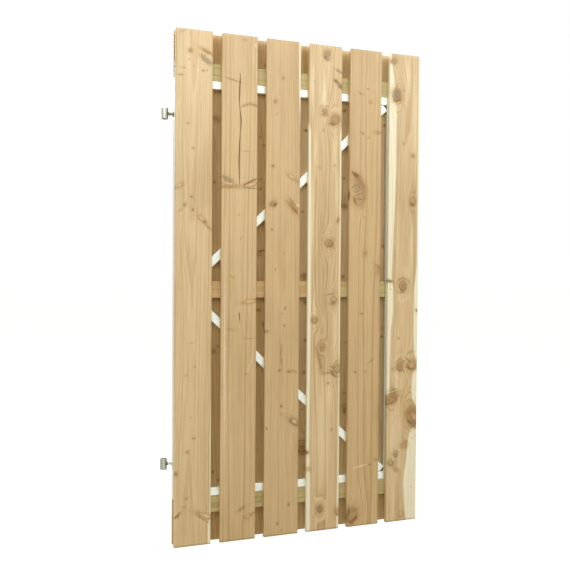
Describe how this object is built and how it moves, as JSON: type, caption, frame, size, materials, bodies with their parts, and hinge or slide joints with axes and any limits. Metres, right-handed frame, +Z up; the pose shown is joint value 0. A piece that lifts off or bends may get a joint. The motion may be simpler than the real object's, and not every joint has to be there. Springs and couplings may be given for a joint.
{
  "type": "steel-framed garden door",
  "caption": "Garden door leaf of spaced wooden boards on both faces of a galvanised K-braced tube frame, hung on adjustable eye bolts.",
  "frame": {"origin": "on the hinge axis, at the flat underside of the lower hinge eye, where it rests on its pin's collar", "axes": "+X from the hinge axis to the lock side, +Y from the front face to the back, +Z up along the hinge axis"},
  "size_m": [1.047, 0.052, 1.9],
  "materials": {
    "front_boards": "planed, untreated",
    "rear_boards": "planed, untreated",
    "treated_rails": "planed, green pressure-treated",
    "galvanised_tube": "hot-dip galvanised, matt",
    "hinge_steel": "zinc plated, satin"
  },
  "bodies": {
    "root": {"front_board_1": "front_boards", "front_board_2": "front_boards", "front_board_3": "front_boards", "front_board_4": "front_boards", "front_board_5": "front_boards", "front_board_6": "front_boards", "rear_board_1": "rear_boards", "rear_board_2": "rear_boards", "rear_board_3": "rear_boards", "rear_board_4": "rear_boards", "rear_board_5": "rear_boards", "hinge_side_rear_board": "rear_boards", "lock_side_rear_board": "rear_boards", "top_rail": "treated_rails", "middle_rail": "treated_rails", "bottom_rail": "treated_rails", "hinge_stile": "galvanised_tube", "lock_stile": "galvanised_tube", "top_tube": "galvanised_tube", "bottom_tube": "galvanised_tube", "upper_brace": "galvanised_tube", "lower_brace": "galvanised_tube", "upper_hinge_eye": "hinge_steel", "upper_hinge_outer_nut": "hinge_steel", "upper_hinge_inner_nut": "hinge_steel", "lower_hinge_eye": "hinge_steel", "lower_hinge_outer_nut": "hinge_steel", "lower_hinge_inner_nut": "hinge_steel"}
  },
  "joints": []
}
